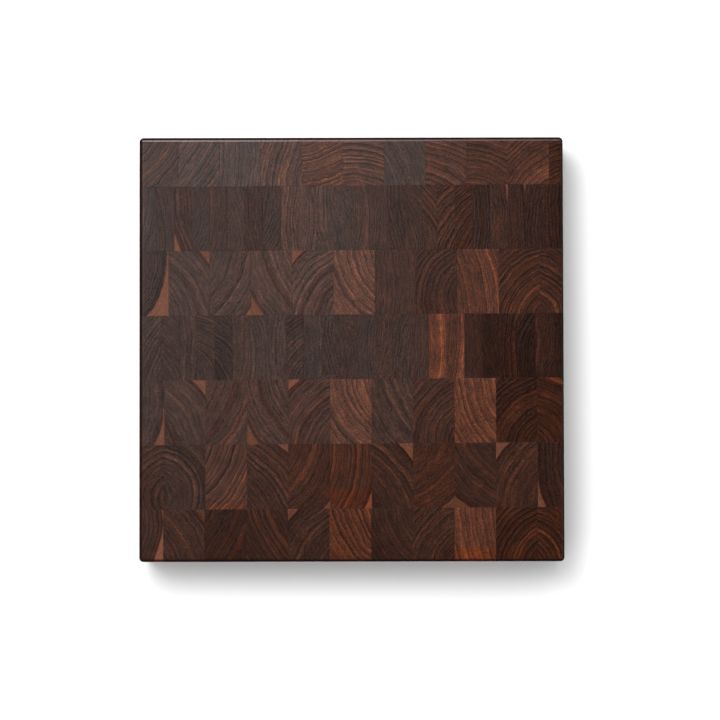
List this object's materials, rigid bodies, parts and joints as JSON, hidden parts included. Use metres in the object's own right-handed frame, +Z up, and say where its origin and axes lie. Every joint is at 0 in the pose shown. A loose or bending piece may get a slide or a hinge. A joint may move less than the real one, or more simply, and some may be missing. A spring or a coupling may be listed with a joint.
{
  "type": "cutting board",
  "caption": "Square end-grain butcher block, glued up from rows of wide and thin walnut staves, with rounded edges and a flat face to rest on.",
  "frame": {"origin": "middle of the flat face that the board rests on", "axes": "+Z up, out of the cutting face; +X along the rows of staves to the right; +Y from the front row to the back row"},
  "size_m": [0.3, 0.3, 0.04],
  "materials": {
    "light_walnut": "oiled, satin",
    "walnut": "oiled, satin",
    "dark_walnut": "oiled, satin"
  },
  "bodies": {
    "root": {"back_row_stave_01": "light_walnut", "back_row_stave_02": "light_walnut", "back_row_stave_03": "light_walnut", "back_row_stave_04": "light_walnut", "back_row_stave_05": "light_walnut", "back_row_stave_06": "light_walnut", "back_row_stave_07": "walnut", "back_row_stave_08": "walnut", "back_row_stave_09": "walnut", "back_row_stave_10": "walnut", "back_row_stave_11": "dark_walnut", "front_row_stave_01": "walnut", "front_row_stave_02": "walnut", "front_row_stave_03": "dark_walnut", "front_row_stave_04": "dark_walnut", "front_row_stave_05": "walnut", "front_row_stave_06": "light_walnut", "front_row_stave_07": "dark_walnut", "front_row_stave_08": "walnut", "front_row_stave_09": "light_walnut", "front_row_stave_10": "dark_walnut", "front_row_stave_11": "dark_walnut", "row_2_thin_staves": "walnut", "row_3_stave_01": "light_walnut", "row_3_stave_02": "light_walnut", "row_3_stave_03": "light_walnut", "row_3_stave_04": "light_walnut", "row_3_stave_05": "light_walnut", "row_3_stave_06": "light_walnut", "row_3_stave_07": "walnut", "row_3_stave_08": "dark_walnut", "row_3_stave_09": "light_walnut", "row_3_stave_10": "walnut", "row_3_stave_11": "walnut", "row_4_thin_staves": "walnut", "row_5_stave_01": "walnut", "row_5_stave_02": "walnut", "row_5_stave_03": "walnut", "row_5_stave_04": "walnut", "row_5_stave_05": "walnut", "row_5_stave_06": "light_walnut", "row_5_stave_07": "walnut", "row_5_stave_08": "walnut", "row_5_stave_09": "light_walnut", "row_5_stave_10": "dark_walnut", "row_5_stave_11": "dark_walnut", "row_6_stave_01": "walnut", "row_6_stave_02": "walnut", "row_6_stave_03": "light_walnut", "row_6_stave_04": "walnut", "row_6_stave_05": "dark_walnut", "row_6_stave_06": "light_walnut", "row_6_stave_07": "walnut", "row_6_stave_08": "walnut", "row_6_stave_09": "walnut", "row_6_stave_10": "dark_walnut", "row_6_stave_11": "dark_walnut"}
  },
  "joints": []
}
